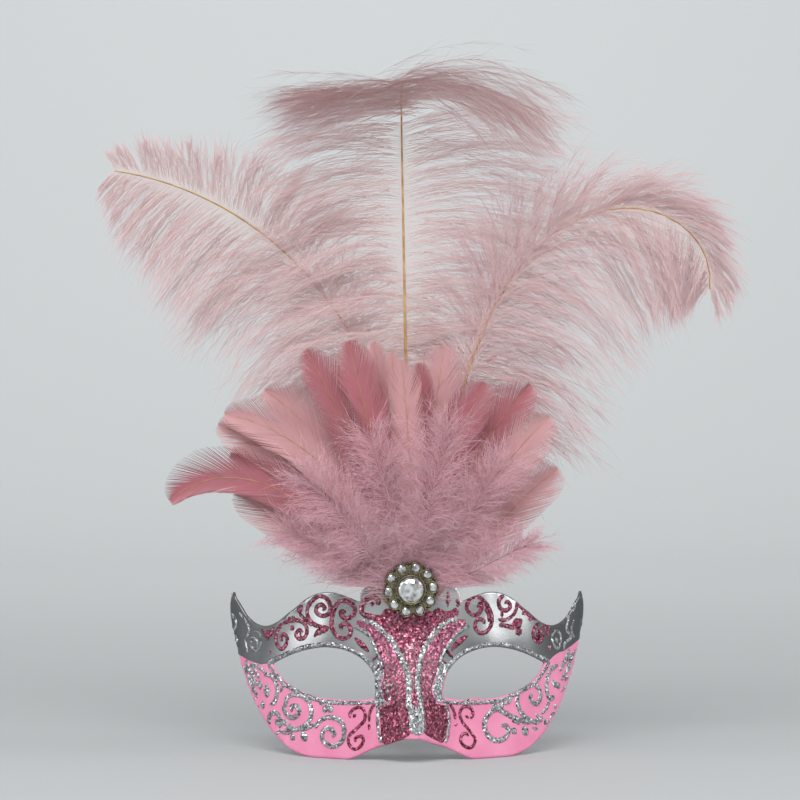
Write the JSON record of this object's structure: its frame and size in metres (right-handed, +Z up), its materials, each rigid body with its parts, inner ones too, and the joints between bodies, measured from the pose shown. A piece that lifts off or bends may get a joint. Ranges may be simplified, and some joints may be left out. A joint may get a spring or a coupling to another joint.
{
  "type": "feather eye mask",
  "caption": "Moulded half mask with eye holes, nose ridge and temple horns, topped by ostrich plumes, a fan of small feathers, down and a round stone brooch.",
  "frame": {"origin": "bottom centre of the whole object's box, on the surface that the mask's two cheeks stand on", "axes": "+Z up, along the plumes; -Y the way the mask faces; +X to the viewer's right"},
  "size_m": [0.3186, 0.1342, 0.3441],
  "materials": {
    "painted_shell": "pink paint and silver foil with glitter lines",
    "ostrich": "dyed ostrich feather, soft",
    "rose_feather": "dyed wing feather, satin",
    "dark_rose_feather": "dyed wing feather, satin",
    "down": "dyed down, soft",
    "aged_metal": "antiqued",
    "cut_glass": "foil-backed cut stone"
  },
  "bodies": {
    "root": {"mask_shell": "painted_shell", "plume_left": "ostrich", "plume_centre": "ostrich", "plume_right": "ostrich", "wing_feather_01": "rose_feather", "wing_feather_02": "dark_rose_feather", "wing_feather_03": "dark_rose_feather", "wing_feather_04": "rose_feather", "wing_feather_05": "rose_feather", "wing_feather_06": "rose_feather", "wing_feather_07": "dark_rose_feather", "wing_feather_08": "dark_rose_feather", "wing_feather_09": "rose_feather", "wing_feather_10": "rose_feather", "wing_feather_11": "rose_feather", "wing_feather_12": "dark_rose_feather", "wing_feather_13": "rose_feather", "wing_feather_14": "dark_rose_feather", "wing_feather_15": "dark_rose_feather", "wing_feather_16": "rose_feather", "wing_feather_17": "rose_feather", "down_01": "down", "down_02": "down", "down_03": "down", "down_04": "down", "down_05": "down", "down_06": "down", "brooch_setting": "aged_metal", "centre_stone": "cut_glass", "small_stone_01": "cut_glass", "small_stone_02": "cut_glass", "small_stone_03": "cut_glass", "small_stone_04": "cut_glass", "small_stone_05": "cut_glass", "small_stone_06": "cut_glass", "small_stone_07": "cut_glass", "small_stone_08": "cut_glass", "small_stone_09": "cut_glass", "small_stone_10": "cut_glass"}
  },
  "joints": []
}
